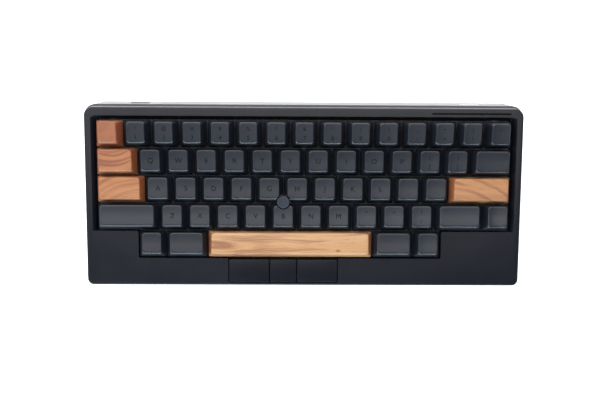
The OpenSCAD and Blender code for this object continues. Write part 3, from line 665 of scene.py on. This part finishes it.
def build_cap(name, row, left, width, text, node):
    cx, cy = key_centre(row, left, width)
    a, b = (width * PITCH - CAP_GAP) / 2, (PITCH - CAP_GAP) / 2
    rear, front = PROFILES[row][:2]
    soft = 0.75 if name in WOODEN else 0.6
    _, y0, y1, half = cap_ring(a, b, 1, row, 1)
    top = cap_top(row, width, y1, y0, half, name == "space")
    roof = min(rear, front) - 2.1
    bm = bmesh.new()
    rings = []
    # the cavity from its roof down to the lip, then the outside up to the edge
    for f, inset in ((roof / front, CAP_WALL + 1.2), (roof / front, CAP_WALL), (0.0, CAP_WALL)):
        points = cap_ring(a, b, f, row, 2.2, inset)[0]
        rings.append(at_height(points, f * front))
    for z, inset in ((0.0, 0.25), (0.07, 0.08), (0.25, 0.0)):
        rings.append(at_height(cap_ring(a, b, 0, row, 1.0, inset)[0], z))
    for f in (0.25, 0.5, 0.75):
        points = cap_ring(a, b, f, row, 1.0 + 1.3 * f)[0]
        rings.append([Vector((p.x, p.y, f * top(p.x, p.y))) for p in points])
    for angle in (0, 25, 50, 72, 90):
        t = math.radians(angle)
        inset, drop = soft * (1 - math.cos(t)), soft * (1 - math.sin(t))
        nose = (1 - NOSE * (1 - math.sin(t)) / front, NOSE * (1 - math.cos(t)))
        points, near = cap_ring(a, b, 1 - drop * 0.6 / front, row, 2.3, inset, nose)[:2]
        ring = []
        for p in points:
            share = max(0, 1 - (p.y - near) / 2.5) ** 2
            ring.append(Vector((p.x, p.y, top(p.x, p.y) - drop * (1 + share * (NOSE / soft - 1)))))
        rings.append(ring)
    rim = rings[-1]
    middle = Vector((0, (y0 + y1) / 2, 0))
    reach = 0.6 * half if width > 2 else 0
    for k in (0.86, 0.7, 0.52, 0.34, 0.18, 0.07):
        ring = []
        for p in rim:
            # wide caps shrink towards a line, so that their faces stay even
            spine = Vector((max(-reach, min(reach, p.x)), middle.y, 0))
            q = spine.lerp(p, k)
            ring.append(Vector((q.x, q.y, top(q.x, q.y))))
        rings.append(ring)
    loft(bm, rings)
    if math.hypot(cx - STICK[0], cy - STICK[1]) < PITCH:
        bm = notched(bm, cx, cy)
    posts = [0] + [s * STABILISED[name] for s in (-1, 1) if name in STABILISED]
    for x in posts:
        stem_post(bm, x, roof)
    mid = (y0 + y1) / 2
    if len(text) == 1:
        legend(bm, text, 0, mid, 4.9, top)
    elif text:
        legend(bm, text[0], 0, mid - 3.2, 4.0, top)
        legend(bm, text[1], 0, mid + 3.0, 3.6, top)
    if name in ("f", "j"):
        z = top(0, y0 + 1.7)
        rod(bm, Vector((-1.9, y0 + 1.7, z + 0.12)), Vector((1.9, y0 + 1.7, z + 0.12)), 0.42, 12)
    place = DECK @ Matrix.Translation((cx, cy, CAP_BASE))
    material = look["wood_" + name] if name in WOODEN else look["cap"]
    piece(f"cap_{name}", bm, place, [material, look["legend"]], node, [node], 34)
    build_sliders(name, cx, cy, posts, node)


def build_sliders(name, cx, cy, posts, node):
    """The switch's slider, and the sliders of a stabilised key."""
    bm = bmesh.new()
    for x in posts:
        if x == 0:
            block(bm, -3.5, 3.5, -3, 3, -6.8, -0.8, 0, 0.25)
            rod(bm, Vector((0, 0, -9)), Vector((0, 0, -6.7)), 0.9)
        else:
            block(bm, x - 2.6, x - 1.25, -2.6, 2.6, -7.8, -0.9, 0, 0.15)
            block(bm, x + 1.25, x + 2.6, -2.6, 2.6, -7.8, -0.9, 0, 0.15)
            block(bm, x - 2.6, x + 2.6, -2.6, 2.6, -3.8, -0.8, 0, 0.2)
            block(bm, x - 1.3, x + 1.3, -1.2, 1.7, -7.8, -7.25)
        block(bm, x - 2, x + 2, -0.6, 0.6, -0.9, 2.8)
        block(bm, x - 0.6, x + 0.6, -2, 2, -0.9, 2.8)
    place = DECK @ Matrix.Translation((cx, cy, 0))
    piece(f"slider_{name}", bm, place, [look["slider"]], node, [node])


def build_springs(keys):
    """The coils inside the switches."""
    bm = bmesh.new()
    wire, radius, turns, steps = 0.15, 1.98, 7, 14
    low, high = SPRING_FLOOR + 0.3, SPRING_ROOF - 0.3
    for key in keys:
        cx, cy = key_centre(*key[1:4])
        route = []
        for k in range(turns * steps + 1):
            t = k / (turns * steps)
            angle = 2 * math.pi * turns * t
            # the end turns lie closer together, as they do on a ground spring
            z = low + (high - low) * (t - 0.06 * math.sin(2 * math.pi * t))
            route.append(Vector((cx + radius * math.cos(angle), cy + radius * math.sin(angle), z)))
        tube(bm, route, wire, 6)
    piece("switch_coils", bm, DECK, [look["spring"]], "case", ["switch_springs"])


# ---------- case ----------


def case_ring(o, z, grow=0.0):
    """One of the case's outlines at height z, moved outwards by `grow`."""
    half, front, rear, rear_r, front_r = o
    radii = (front_r + grow, rear_r + grow, rear_r + grow, front_r + grow)
    points = outline(-half - grow, half + grow, front - grow, rear + grow, radii, 12, 6)
    return at_height(points, z)


def between(a, b, t):
    return tuple(p + (q - p) * t for p, q in zip(a, b))


def well_path(grow, r):
    """The outline of the keys' well, moved outwards by `grow`, with corners of radius r."""
    half = 7.5 * PITCH + WELL_GAP + grow
    rear = GRID_REAR + WELL_GAP + grow
    step = GRID_REAR - 4 * PITCH - WELL_GAP - grow
    left, right = -6 * PITCH - WELL_GAP - grow, 5 * PITCH + WELL_GAP + grow
    front = GRID_REAR - 5 * PITCH - WELL_GAP - grow
    corners = [(left, front), (right, front), (right, step), (half, step)]
    corners += [(half, rear), (-half, rear), (-half, step), (left, step)]
    return round_path([Vector(c) for c in corners], r)


def build_top_case():
    """The upper shell with its well, its screw posts and the brackets that carry the buttons' pins."""
    bm = bmesh.new()
    rings = [
        case_ring(RIM_EDGE, -WALL, -WALL - 1),
        case_ring(RIM_EDGE, -WALL - 1, -WALL),
        case_ring(UPPER_SEAM, SEAM, -WALL),
        case_ring(UPPER_SEAM, SEAM, -0.35),
        case_ring(UPPER_SEAM, SEAM + 0.1, -0.1),
        case_ring(UPPER_SEAM, SEAM + 0.35, 0),
    ]
    rings.append(case_ring(between(UPPER_SEAM, RIM_EDGE, 0.9), RIM_EDGE_Z - 0.9))
    for k in range(9):
        t = math.radians(90 * k / 8)
        o = between(RIM_EDGE, RIM_TOP, 1 - math.cos(t))
        rings.append(case_ring(o, RIM_EDGE_Z * (1 - math.sin(t))))
    loft(bm, rings)
    shell = mesh_object("case_upper", bm, Matrix.Identity(4))

    add = bmesh.new()
    prism(add, well_path(1.6, 2), PLATE_TOP + 0.3, -1)
    carve(shell, mesh_object("well_wall", add, Matrix.Identity(4)), "UNION")
    add = bmesh.new()
    for x, y in CASE_SCREWS:
        prism(add, disc(x, y, 2.6, 40), POST_TOP, -1.2)
    carve(shell, mesh_object("posts", add, Matrix.Identity(4)), "UNION")

    cut = bmesh.new()
    prism(cut, well_path(0, 1), -20, 2)
    carve(shell, mesh_object("well", cut, Matrix.Identity(4)))
    cut = bmesh.new()
    half, rear = 7.5 * PITCH + WELL_GAP, GRID_REAR + WELL_GAP
    step = GRID_REAR - 4 * PITCH - WELL_GAP
    low = outline(-half, half, step, rear, 0.4, 4)
    high = outline(-half - WELL_SLOPE, half + WELL_SLOPE, step, rear + REAR_SLOPE, (0.4, 2.2, 2.2, 0.4), 4)
    bend = [a.lerp(b, 0.55) for a, b in zip(low, high)]
    over = [b + (b - a) * 0.3 for a, b in zip(bend, high)]
    loft(cut, [at_height(low, -4.0), at_height(bend, -1.1), at_height(high, 0.0), at_height(over, 0.33)])
    carve(shell, mesh_object("slope", cut, Matrix.Identity(4)))
    cut = bmesh.new()
    for x, y in CASE_SCREWS:
        prism(cut, disc(x, y, 1.3, 24), POST_TOP - 1, -3.4)
    x0, x1 = BUTTON_EDGES[0] - 0.25, BUTTON_EDGES[-1] + 0.25
    prism(cut, outline(x0, x1, BUTTON_FRONT - 0.5, BUTTON_REAR + 8, 0.9, 4), -20, 2)
    prism(cut, outline(WINDOW[0], WINDOW[1], WINDOW[2] - 0.6, WINDOW[2] + 0.6, 0.59, 6), -5, 2)
    carve(shell, mesh_object("openings", cut, Matrix.Identity(4)))

    brackets = bmesh.new()
    y, z = BUTTON_PIVOT
    bore, reach = 0.95, 1.8
    for i in range(3):
        for x in (BUTTON_EDGES[i] + 3, BUTTON_EDGES[i + 1] - 3):
            block(brackets, x - 0.7, x + 0.7, y - 4, y - bore, z - reach, z + reach)
            block(brackets, x - 0.7, x + 0.7, y - 1.1, y + reach, z + bore, z + reach)
            block(brackets, x - 0.7, x + 0.7, y - 1.1, y + reach, z - reach, z - bore)
    shell.data.transform(DECK)
    finish_piece(shell, [look["case"]], "case", ["top_case"], 30, 0.28)
    piece("button_brackets", brackets, DECK, [look["case"]], "case", ["top_case"])


def build_bottom_case():
    """The lower shell: its rings run from its rim in the deck's plane to its base in the table's."""
    bm = bmesh.new()
    rim = SEAM - 0.2

    def deck_ring(grow, drop=0.0):
        return [DECK @ p for p in case_ring(LOWER_SEAM, rim - drop, grow)]

    def base_ring(z, grow):
        return [TABLE @ p for p in case_ring(BASE_OUTLINE, z, grow)]

    def part_way(t):
        return [a.lerp(b, t) for a, b in zip(base_ring(BASE, 0), deck_ring(0))]

    rings = [base_ring(BASE + FLOOR, -WALL - 2), base_ring(BASE + FLOOR + 1, -WALL - 1)]
    rings += [deck_ring(-WALL), deck_ring(-0.5), deck_ring(-0.15, 0.12), deck_ring(0, 0.45)]
    rings += [part_way(t) for t in (0.75, 0.5, 0.25)]
    for k in range(6):
        t = math.radians(90 * k / 5)
        rings.append(base_ring(BASE + 1.4 * (1 - math.sin(t)), -1.4 * (1 - math.cos(t)) - 0.12))
    loft(bm, rings)
    shell = mesh_object("case_lower", bm, Matrix.Identity(4))

    def cutter(build, place, how="DIFFERENCE"):
        tool = bmesh.new()
        build(tool)
        carve(shell, mesh_object("tool", tool, place), how)

    def foot_wells(tool, grow=0.0):
        for s in (-1, 1):
            x = s * FOOT_X
            z0 = BASE + 1 if grow else BASE - 1
            points = outline(x - FOOT_W / 2 - 0.5 - grow, x + FOOT_W / 2 + 0.5 + grow,
                             FOOT_PIVOT[0] - FOOT_L - 1.5 - grow, FOOT_PIVOT[0] + 3.4 + grow, 1 + grow, 4)
            prism(tool, points, z0, 7.2 + grow)

    def posts(tool):
        for x, y in CASE_SCREWS:
            prism(tool, disc(x, y, 3.2, 40), table_height(BASE + 1.2, y), POST_TOP - 0.1)
        for x, y in PLATE_SCREWS:
            prism(tool, disc(x, y, 2.6, 32), table_height(BASE + 1.2, y), BOARD_BOTTOM - 0.1)

    def walls(tool):
        for s in (-1, 1):
            x = s * (2 * CELL_L + 4.3)
            block(tool, x - 0.8, x + 0.8, 52.6, 62.5, BASE + 1, 16)

    def underside(tool):
        for s in (-1, 1):
            for half, y0, y1 in PADS:
                prism(tool, outline(s * PAD_X - half, s * PAD_X + half, y0, y1, 4), -1, BASE + 0.5)
        half = DOOR[0] / 2 + 0.3
        prism(tool, outline(-half, half, BAY_Y - 10.2, BAY_Y + 9.8, 1), -1, BASE + FLOOR + 1)

    def bores(tool):
        for x, y in CASE_SCREWS:
            prism(tool, disc(x, y, 1.6, 24), -45, 0)
        for x, y in PLATE_SCREWS:
            prism(tool, disc(x, y, 1.05, 20), -18, 0)

    def sinks(tool):
        for x, y in CASE_SCREWS:
            prism(tool, disc(x, y, 2.8, 32), -45, table_height(BASE + 2.9, y) + 0.1)

    def rear_windows(tool):
        wide, tall = POWER_SIZE[0] + 0.3, POWER_SIZE[1] + 0.3
        for x, w, h, r in ((USB_X, 13.3, 6.3, 1.2), (POWER_X, wide, tall, tall / 2 - 0.01)):
            before = len(tool.verts)
            prism(tool, outline(-w / 2, w / 2, -h / 2, h / 2, r), -6, 4)
            tool.verts.ensure_lookup_table()
            for v in tool.verts[before:]:
                v.co = at_rear(x) @ v.co

    cutter(lambda t: foot_wells(t, 1.6), TABLE, "UNION")
    cutter(posts, DECK, "UNION")
    cutter(walls, TABLE, "UNION")
    cutter(foot_wells, TABLE)
    cutter(underside, TABLE)
    cutter(bores, DECK)
    cutter(sinks, DECK)
    cutter(rear_windows, TABLE)
    finish_piece(shell, [look["base"]], "case", ["bottom_case"], 30, 0.22)


def table_height(z, y):
    """The deck height of the table-frame plane z at deck position y."""
    at = DECK.inverted() @ TABLE @ Vector((0, 0, z))
    return at.z - (y - at.y) * math.tan(TILT)


def at_rear(x):
    """A frame on the rear wall in the table's millimetres: Y up the wall, Z out of it."""
    seam = TABLE.inverted() @ DECK @ Vector((0, LOWER_SEAM[2], SEAM - 0.2))
    lean = (BASE_OUTLINE[2] - seam.y) / (seam.z - BASE)
    out = Vector((0, 1, lean)).normalized()
    up = Vector((0, -lean, 1)).normalized()
    rows = Matrix((up.cross(out), up, out)).transposed().to_4x4()
    return Matrix.Translation((x, seam.y + (seam.z - REAR_Z) * lean, REAR_Z)) @ rows


# ---------- buttons, stick and window ----------


def build_buttons():
    """The click buttons: a plate, its plunger, and two arms with the pins it turns on."""
    pivot_y, pivot_z = BUTTON_PIVOT
    for i, side in enumerate(("left", "middle", "right")):
        x0, x1 = BUTTON_EDGES[i] + 0.25, BUTTON_EDGES[i + 1] - 0.25
        mid = (x0 + x1) / 2
        node = "click_button_" + side
        bm = bmesh.new()
        prism(bm, outline(x0, x1, BUTTON_FRONT, BUTTON_REAR - 0.2, 0.8, 5), -1.6, 0, 0, 0.35)
        block(bm, mid - 1.5, mid + 1.5, *PLUNGER, -1.4, 0, 0.3)
        for s, bracket in ((1, BUTTON_EDGES[i] + 3), (-1, BUTTON_EDGES[i + 1] - 3)):
            inner = bracket + s * 1.0
            outer = inner + s * 1.6
            low, high = min(inner, outer), max(inner, outer)
            block(bm, low, high, pivot_y - 1.2, pivot_y + 1.2, pivot_z - 1.3, -1.5, 0, 0.15)
            rod(bm, Vector((bracket - s * 0.7, *BUTTON_PIVOT)), Vector((outer, *BUTTON_PIVOT)), 0.8, 20)
        piece("click_plate_" + side, bm, DECK, [look["button"]], node, [node])


def build_stick():
    """The stick's cap: a soft rim, a hollow crown and a field of small pips that the fingertip grips."""
    bm = bmesh.new()
    r = STICK_D / 2
    top = STICK_TOP
    profile = [(1.2, 2.1), (2.4, 2.1), (2.4, top - 2.5), (r - 0.7, top - 2.3), (r - 0.15, top - 1.2)]
    profile += [(r, top - 0.75), (r - 0.05, top - 0.45), (r - 0.3, top - 0.15), (r - 0.7, top - 0.02)]
    profile += [(r - 1.1, top - 0.1), (r - 1.8, top - 0.3), (1.4, top - 0.42), (0.5, top - 0.45)]
    lathe(bm, profile, 48)
    for ring in range(1, 4):
        count = 6 * ring
        for k in range(count):
            angle = 2 * math.pi * k / count
            x, y = 0.85 * ring * math.cos(angle), 0.85 * ring * math.sin(angle)
            z = top - 0.45 + 0.04 * ring * ring
            pip = [(0.24, z - 0.2), (0.22, z + 0.06), (0.14, z + 0.14), (0.05, z + 0.16)]
            lathe(bm, pip, 8, 0, Matrix.Translation((x, y, 0)))
    place = DECK @ Matrix.Translation((*STICK, 0))
    piece("stick_cap", bm, place, [look["stick"]], "pointer_stick", ["pointer_cap"], 40)


def build_window():
    """The smoked window over the indicators, with the flange that holds it from below."""
    bm = bmesh.new()
    x0, x1, y = WINDOW
    prism(bm, outline(x0 + 0.1, x1 - 0.1, y - 0.5, y + 0.5, 0.49, 6), -2.8, -0.15, 0, 0.12)
    block(bm, x0 - 1, x1 + 1, y, y + 1, -3.4, -2.7, 0, 0.1)
    piece("indicator_lens", bm, DECK, [look["window"]], "case", ["indicator_window"])


# ---------- rear fittings and underside ----------


def build_rear():
    """The USB socket, with its plate, tongue and contacts, and the power button."""
    bm = bmesh.new()
    place = TABLE @ at_rear(USB_X)
    shell = outline(-4.5, 4.5, -1.6, 1.6, 1.58, 8)
    bore = outline(-4.15, 4.15, -1.25, 1.25, 1.24, 8)
    mouth = [at_height(shell, z) for z in (-8.8, -0.9)] + [at_height(shrunk(shell, 0.08), -0.8)]
    mouth += [at_height(shrunk(bore, -0.06), -0.8), at_height(bore, -0.9), at_height(bore, -8.2)]
    loft(bm, mouth)
    plate = outline(-6.5, 6.5, -3, 3, 0.9, 5)
    hole = outline(-4.65, 4.65, -1.75, 1.75, 1.6, 5)
    section = ((hole, -1.6), (plate, -1.6), (plate, -0.6), (shrunk(plate, 0.1), -0.5), (hole, -0.5))
    loops = loft(bm, [at_height(points, z) for points, z in section], 0, False)
    join_loops(bm, loops[-1], loops[0])
    block(bm, -3.3, 3.3, -0.35, 0.35, -8.3, -1.9, 1, 0.1)
    for k in range(12):
        x = -2.75 + 0.5 * k
        block(bm, x - 0.13, x + 0.13, -0.38, 0.38, -6.5, -2.2, 2)
    block(bm, -6, 6, -3, -2.1, -8.6, -1.6, 0, 0.15)
    materials = [look["socket"], look["tongue"], look["gold"]]
    piece("usb_shell", bm, place, materials, "case", ["usb_socket"])

    bm = bmesh.new()
    w, h = POWER_SIZE
    face = outline(-w / 2, w / 2, -h / 2, h / 2, h / 2 - 0.01, 10)
    rings = [at_height(face, z) for z in (-3.4, -0.5)]
    dished = ((0.06, -0.25), (0.2, -0.08), (0.45, 0.0), (0.9, -0.06), (1.5, -0.16))
    rings += [at_height(shrunk(face, inset), z) for inset, z in dished]
    loft(bm, rings)
    prism(bm, outline(-w / 2 - 1.2, w / 2 + 1.2, -h / 2 - 0.6, h / 2 + 0.6, h / 2, 8), -4.6, -3.3)
    place = TABLE @ at_rear(POWER_X)
    piece("power_pill", bm, place, [look["power"]], "power_button", ["power_button"])


def join_loops(bm, last, first):
    """Joins two loops of a loft that was left open, so that it closes on itself."""
    for i in range(len(last)):
        j = (i + 1) % len(last)
        bm.faces.new((last[i], last[j], first[j], first[i]))


def build_battery():
    """The four cells end to end, and the door over their bay with its grip ribs, pins and catches."""
    bm = bmesh.new()
    r, end = CELL_D / 2, CELL_L
    for i in range(4):
        x = (i - 2) * CELL_L + 0.1
        place = Matrix.Translation((x, BAY_Y, BAY_Z)) @ Matrix.Rotation(math.pi / 2, 4, "Y")
        body = [(r - 1.6, 0.15), (r - 1.0, 0.0), (r - 0.3, 0.05), (r, 0.45)]
        body += [(r, end - 1.9), (r - 0.35, end - 1.45), (r - 1.1, end - 1.4), (r - 1.4, end - 1.65)]
        lathe(bm, body, 48, 0, place)
        lathe(bm, [(r - 1.7, -0.02), (r - 2.2, 0.05), (r - 2.3, 0.4)][::-1], 32, 1, place)
        nub = [(2.7, end - 1.8), (2.7, end - 0.45), (2.45, end - 0.2), (1.5, end - 0.2)]
        lathe(bm, nub, 32, 1, place)
    piece("cells", bm, TABLE, [look["cell"], look["contact"]], "case", ["battery_cells"])

    bm = bmesh.new()
    prism(bm, outline(-DOOR[0] / 2, DOOR[0] / 2, BAY_Y - 9.5, BAY_Y + 9.5, 0.8), BASE, BASE + DOOR[2], 0, 0.3)
    for k in range(7):
        y = BAY_Y + 1.2 + k * 1.05
        rod(bm, Vector((-9 + 0.35 * k, y, BASE + 0.02)), Vector((9 - 0.35 * k, y, BASE + 0.02)), 0.3, 12)
    hinge_at = (BAY_Y - 9.5 + 0.9, 2.9)
    rod(bm, Vector((-DOOR[0] / 2 - 2.2, *hinge_at)), Vector((DOOR[0] / 2 + 2.2, *hinge_at)), 0.7, 20)
    for s in (-1, 1):
        block(bm, s * 40 - 5, s * 40 + 5, BAY_Y + 7.1, BAY_Y + 8.3, BASE + 1, BASE + 4, 0, 0.2)
    piece("door_panel", bm, TABLE, [look["case"]], "battery_door", ["battery_door"])


def build_feet():
    """The fold-out feet and the four rubber pads."""
    for s, side in ((-1, "left"), (1, "right")):
        bm = bmesh.new()
        w = FOOT_W / 2
        plan = outline(-w, w, -FOOT_L, 0.6, (1.6, 0.6, 0.6, 1.6), 6)
        prism(bm, plan, -1.7, 1.3, 0, 0.35)
        rod(bm, Vector((-w, 0, 0)), Vector((w, 0, 0)), 2, 32)
        rod(bm, Vector((-w - 1.5, 0, 0)), Vector((w + 1.5, 0, 0)), 1.2, 24)
        prism(bm, outline(-9, 9, -FOOT_L + 1.4, -FOOT_L + 4.4, 1.4), -1.95, -1.5, 1, 0.15)
        for k in range(4):
            y = -7.6 + 1.5 * k
            rod(bm, Vector((-6, y, -1.68)), Vector((6, y, -1.68)), 0.25, 10)
        node = "tilt_foot_" + side
        place = TABLE @ Matrix.Translation((s * FOOT_X, *FOOT_PIVOT))
        piece("flip_foot_" + side, bm, place, [look["case"], look["rubber"]], node, [node])
    bm = bmesh.new()
    free = 0.2
    section = ((1.0, 0), (0.45, 0.12), (0.15, 0.4), (0, 0.8), (0, BASE + 0.4))
    for s in (-1, 1):
        for half, y0, y1 in PADS:
            x, w = s * PAD_X, half - free
            points = outline(x - w, x + w, y0 + free, y1 - free, 3.8, 8)
            loft(bm, [at_height(shrunk(points, inset), z) for inset, z in section])
    piece("rubber_pads", bm, TABLE, [look["rubber"]], "case", ["rubber_feet"], 50)


def dress_cad_nodes():
    """The CAD nodes whose shape already serves get their materials."""
    for name, key in (
        ("mounting_plate", "plate"), ("circuit_board", "board"), ("damper_sheet", "foam"),
        ("switch_housings", "switch"), ("stabiliser_housings", "switch"), ("space_stabiliser_wire", "steel"),
        ("pointer_flexure", "steel"), ("pointer_post", "steel"), ("battery_contacts", "contact"),
        ("case_screws", "screw"),
    ):
        obj = nodes[name]
        obj.data.materials.clear()
        obj.data.materials.append(look[key])


# ---------- floor, light and camera ----------

# The studio's light by height above the horizon: a bright cyclorama under a darker ceiling.
SKY = [(0.0, (0.38, 0.42, 0.5)), (0.3, (0.26, 0.29, 0.35)), (0.75, (0.2, 0.22, 0.26))]


def area(name, place, aim, size, power, colour=(1, 1, 1)):
    """A rectangular softbox that the camera doesn't see."""
    light = bpy.data.lights.new(name, "AREA")
    light.shape, light.size, light.size_y = "RECTANGLE", size[0], size[1]
    light.energy, light.color = power, colour
    obj = bpy.data.objects.new(name, light)
    bpy.context.scene.collection.objects.link(obj)
    obj.visible_camera = False
    obj.location = place
    obj.rotation_euler = (Vector(aim) - Vector(place)).to_track_quat("-Z", "Y").to_euler()


def build_floor():
    """A plain pale floor."""
    bm = bmesh.new()
    bmesh.ops.create_grid(bm, x_segments=1, y_segments=1, size=3)
    mesh = bpy.data.meshes.new("floor")
    bm.to_mesh(mesh)
    bm.free()
    floor = bpy.data.objects.new("floor", mesh)
    bpy.context.scene.collection.objects.link(floor)
    white = bpy.data.materials.new("floor_white")
    white.use_nodes = True
    shader = white.node_tree.nodes["Principled BSDF"]
    shader.inputs["Base Color"].default_value = (0.9, 0.9, 0.9, 1)
    shader.inputs["Roughness"].default_value = 0.9
    shader.inputs["Emission Color"].default_value = (1, 1, 1, 1)
    shader.inputs["Emission Strength"].default_value = 0.6
    mesh.materials.append(white)


def build_light():
    """A sky that darkens upwards, a wide softbox over the rear, a cool strip in front and one behind."""
    scene = bpy.context.scene
    scene.view_settings.view_transform = "Standard"
    world = bpy.data.worlds.new("studio")
    world.use_nodes = True
    tree = world.node_tree
    place = tree.nodes.new("ShaderNodeTexCoord")
    part = tree.nodes.new("ShaderNodeSeparateXYZ")
    sky = tree.nodes.new("ShaderNodeValToRGB")
    tree.links.new(place.outputs["Generated"], part.inputs[0])
    tree.links.new(part.outputs["Z"], sky.inputs["Fac"])
    tree.links.new(sky.outputs["Color"], tree.nodes["Background"].inputs["Color"])
    band = sky.color_ramp
    band.elements.new(0.35)
    for element, (at, colour) in zip(band.elements, SKY):
        element.position, element.color = at, (*colour, 1)
    scene.world = world
    area("soft_top", (-0.3, 0.68, 0.95), (-0.3, 0.68, 0), (1.9, 1.76), 36.0, (1.0, 0.99, 1.0))
    area("cool_front", (-0.3, -1.0, 0.5), (0, 0, 0), (1.8, 0.22), 23.0, (0.74, 0.89, 1.0))
    area("rear_low", (-0.3, 1.3, 0.25), (0, 0, 0), (2.6, 0.35), 14.0)


def build_camera():
    """The photo's view: almost straight down."""
    data = bpy.data.cameras.new("camera")
    data.lens, data.sensor_width = 45.5, 36
    camera = bpy.data.objects.new("camera", data)
    bpy.context.scene.collection.objects.link(camera)
    camera.location = (-0.009, -0.005, 0.5517)
    camera.rotation_euler = [math.radians(a) for a in (-0.02, -0.68, 0.24)]
    bpy.context.scene.camera = camera


keys = key_list()
for key in keys:
    build_cap(*key)
build_springs(keys)
build_top_case()
build_bottom_case()
build_buttons()
build_stick()
build_window()
build_rear()
build_battery()
build_feet()
dress_cad_nodes()
build_floor()
build_light()
build_camera()
